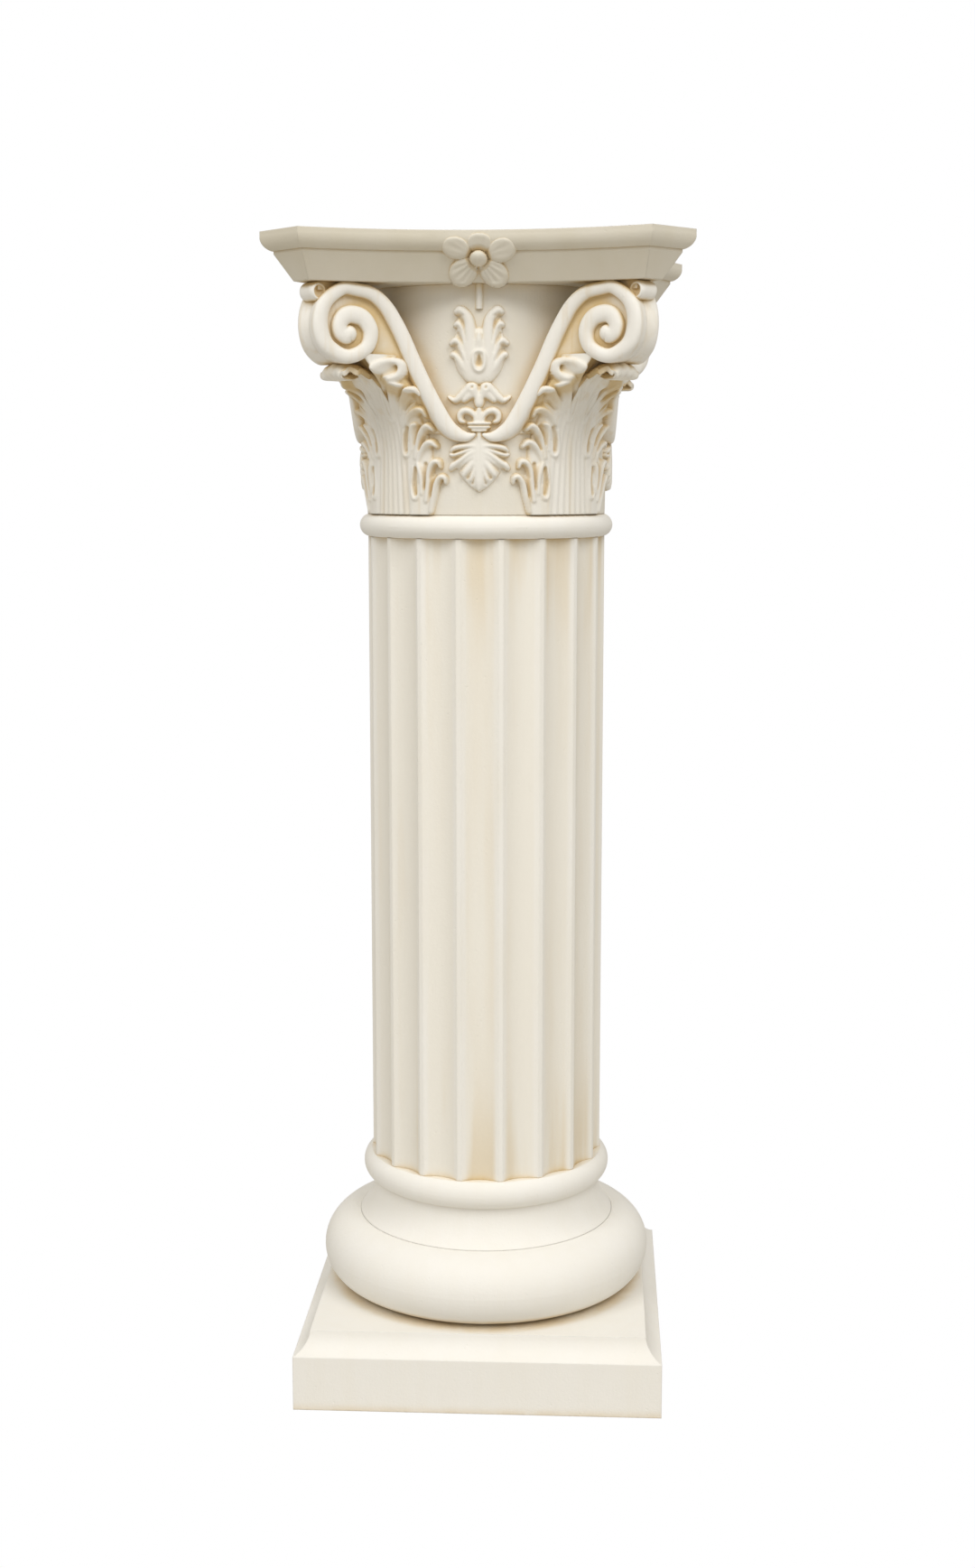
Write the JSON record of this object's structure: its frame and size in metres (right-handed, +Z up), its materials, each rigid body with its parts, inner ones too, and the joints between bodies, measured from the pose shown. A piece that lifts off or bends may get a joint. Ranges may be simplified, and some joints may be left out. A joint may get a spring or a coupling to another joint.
{
  "type": "pedestal column stand",
  "caption": "Free-standing fluted pedestal column with a square plinth, moulded Attic base, acanthus and scroll capital and a flat hollow-sided top to stand things on.",
  "frame": {"origin": "middle of the plinth's underside, on the column's axis", "axes": "+Z up the column's axis, -Y out of the front face seen in the picture, +X to its right"},
  "size_m": [0.352, 0.352, 1],
  "materials": {
    "cast_body": "matt"
  },
  "bodies": {
    "root": {"abacus": "cast_body", "acanthus_back_left": "cast_body", "acanthus_back_right": "cast_body", "acanthus_front_left": "cast_body", "acanthus_front_right": "cast_body", "astragal": "cast_body", "bell": "cast_body", "corner_curl_back_left": "cast_body", "corner_curl_back_right": "cast_body", "corner_curl_front_left": "cast_body", "corner_curl_front_right": "cast_body", "drop_leaf_back": "cast_body", "drop_leaf_front": "cast_body", "drop_leaf_left": "cast_body", "drop_leaf_right": "cast_body", "fleuron_back": "cast_body", "fleuron_front": "cast_body", "fleuron_left": "cast_body", "fleuron_right": "cast_body", "husk_back": "cast_body", "husk_front": "cast_body", "husk_left": "cast_body", "husk_right": "cast_body", "lower_torus": "cast_body", "plinth": "cast_body", "rosette_back": "cast_body", "rosette_front": "cast_body", "rosette_left": "cast_body", "rosette_right": "cast_body", "scotia_ring": "cast_body", "scroll_knot_back": "cast_body", "scroll_knot_front": "cast_body", "scroll_knot_left": "cast_body", "scroll_knot_right": "cast_body", "shaft": "cast_body", "stalk_back": "cast_body", "stalk_front": "cast_body", "stalk_left": "cast_body", "stalk_right": "cast_body", "volute_back_left": "cast_body", "volute_back_right": "cast_body", "volute_front_left": "cast_body", "volute_front_right": "cast_body"}
  },
  "joints": []
}
